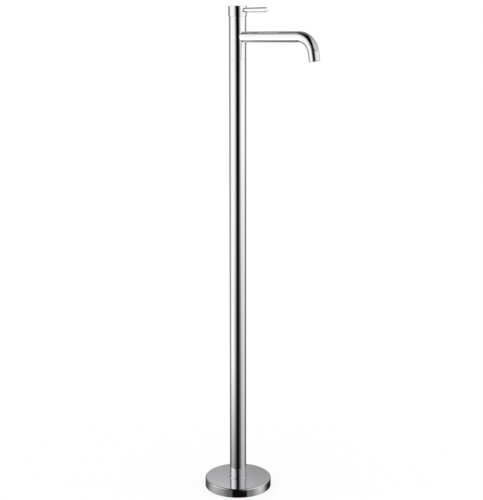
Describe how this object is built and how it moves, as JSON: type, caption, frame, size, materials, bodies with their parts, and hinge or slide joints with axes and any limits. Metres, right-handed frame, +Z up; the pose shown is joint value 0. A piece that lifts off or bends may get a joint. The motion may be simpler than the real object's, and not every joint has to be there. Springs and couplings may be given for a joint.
{
  "type": "floor-standing basin mixer tap",
  "caption": "Floor-standing single-lever mixer tap: round column on a floor flange, bent side spout, pin lever on a turned cap over a ceramic-disc cartridge.",
  "frame": {"origin": "on the floor at the column's axis, the centre of the floor bolt circle on the gasket's underside", "axes": "+Z up along the column, +X along the spout, -Y the hot side"},
  "size_m": [0.3112, 0.162, 1.159],
  "materials": {
    "chrome": "bright chrome plate on brass",
    "brass": "turned brass",
    "steel": "turned stainless steel",
    "rubber": "black sealing rubber",
    "plastic": "white moulded acetal",
    "blue_plastic": "blue moulded acetal",
    "ceramic": "lapped white alumina"
  },
  "bodies": {
    "stand": {"floor_gasket": "rubber", "base_plate": "steel", "inlet_block": "brass", "block_screws": "steel", "flange_cover": "chrome", "foot_ring": "chrome", "column_tube": "chrome", "column_screws": "steel", "hot_tail": "brass", "cold_tail": "brass", "tail_seals": "rubber", "tail_spacers": "plastic", "mixer_body": "chrome", "body_o_ring": "rubber", "spout_tube": "chrome", "spout_nozzle": "chrome", "aerator_housing": "chrome", "aerator_insert": "plastic", "aerator_washer": "rubber", "cartridge_seals": "rubber", "cartridge_base": "plastic", "fixed_disc": "ceramic", "cartridge_housing": "plastic", "cartridge_nut": "brass", "dome_ring": "chrome"},
    "guide": {"cartridge_rotor": "plastic", "stem_pivot_pin": "steel"},
    "slider": {"disc_carrier": "blue_plastic", "moving_disc": "ceramic"},
    "handle": {"handle_cap": "chrome", "lever_pin": "chrome", "cartridge_stem": "brass"}
  },
  "joints": [
    {"name": "handle_turn", "type": "hinge", "parent": "stand", "child": "guide", "pos_m": [0, 0, 1.12], "axis": [0, 0, 1], "range_deg": [-45, 45]},
    {"name": "handle_tilt", "type": "hinge", "parent": "guide", "child": "handle", "pos_m": [0, 0, 1.12], "axis": [0, -1, 0], "range_deg": [0, 25]},
    {"name": "disc_slide", "type": "slide", "parent": "guide", "child": "slider", "axis": [1, 0, 0], "range_m": [0, 0.0024]}
  ],
  "couplings": [
    {"joint": "disc_slide", "follows": "handle_tilt", "m_per_rad": 0.005133}
  ]
}
